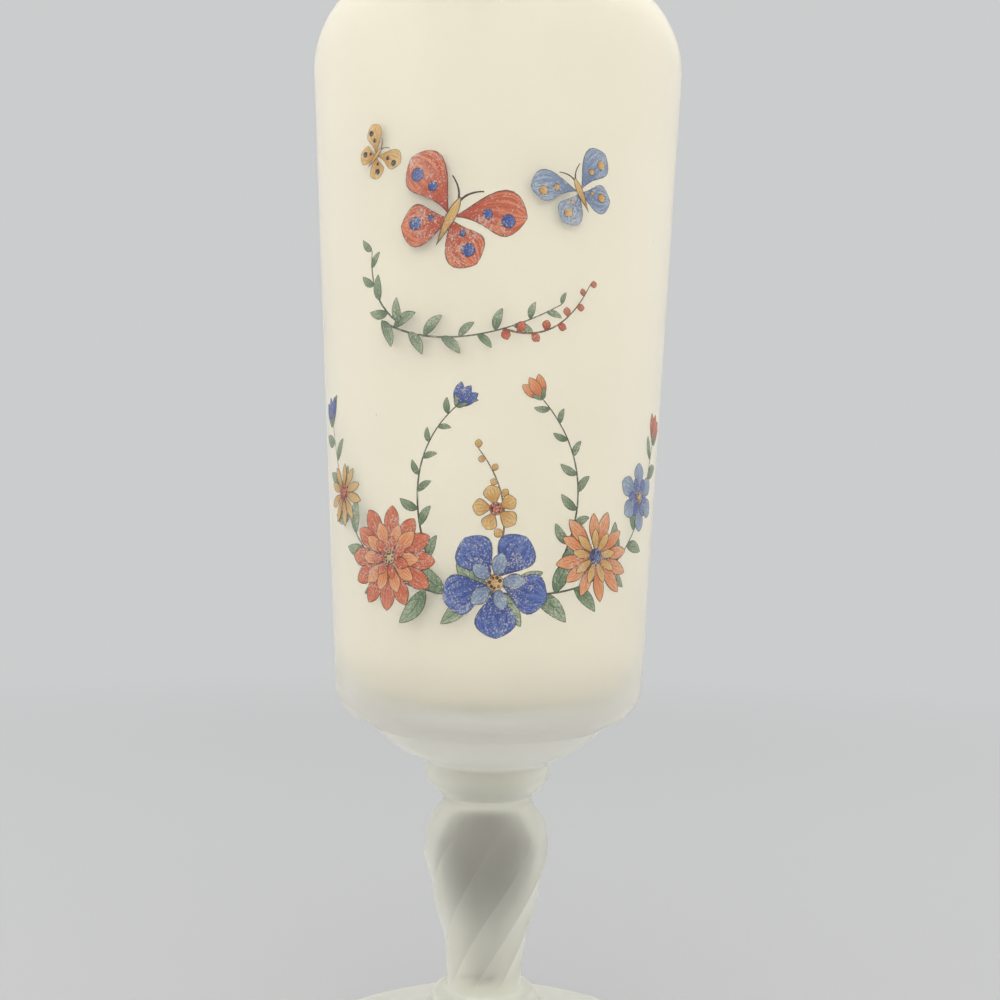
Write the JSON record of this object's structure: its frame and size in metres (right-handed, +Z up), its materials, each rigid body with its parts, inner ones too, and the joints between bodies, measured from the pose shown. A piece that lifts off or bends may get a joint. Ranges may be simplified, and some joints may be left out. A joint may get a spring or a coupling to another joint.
{
  "type": "footed glass vase",
  "caption": "Tall footed vase: tapered satin glass body cased over an opal lining, rounded shoulder, short neck with a flared lip, twisted stem and round foot.",
  "frame": {"origin": "centre of the ring that the foot stands on, at table height", "axes": "+Z up along the vase's axis; the decorated front faces -Y, +X to the right of someone who looks at it"},
  "size_m": [0.104, 0.104, 0.2998],
  "materials": {
    "satin_glass": "acid-etched satin, clear glass",
    "casing_glass": "acid-etched satin casing with fired enamel prints",
    "opal_glass": "warm white opal, seen through the casing"
  },
  "bodies": {
    "root": {"foot_disc": "satin_glass", "foot_hub": "satin_glass", "twisted_stem": "satin_glass", "knop_collar": "satin_glass", "base_cup": "satin_glass", "body_shell": "casing_glass", "opal_lining": "opal_glass"}
  },
  "joints": []
}
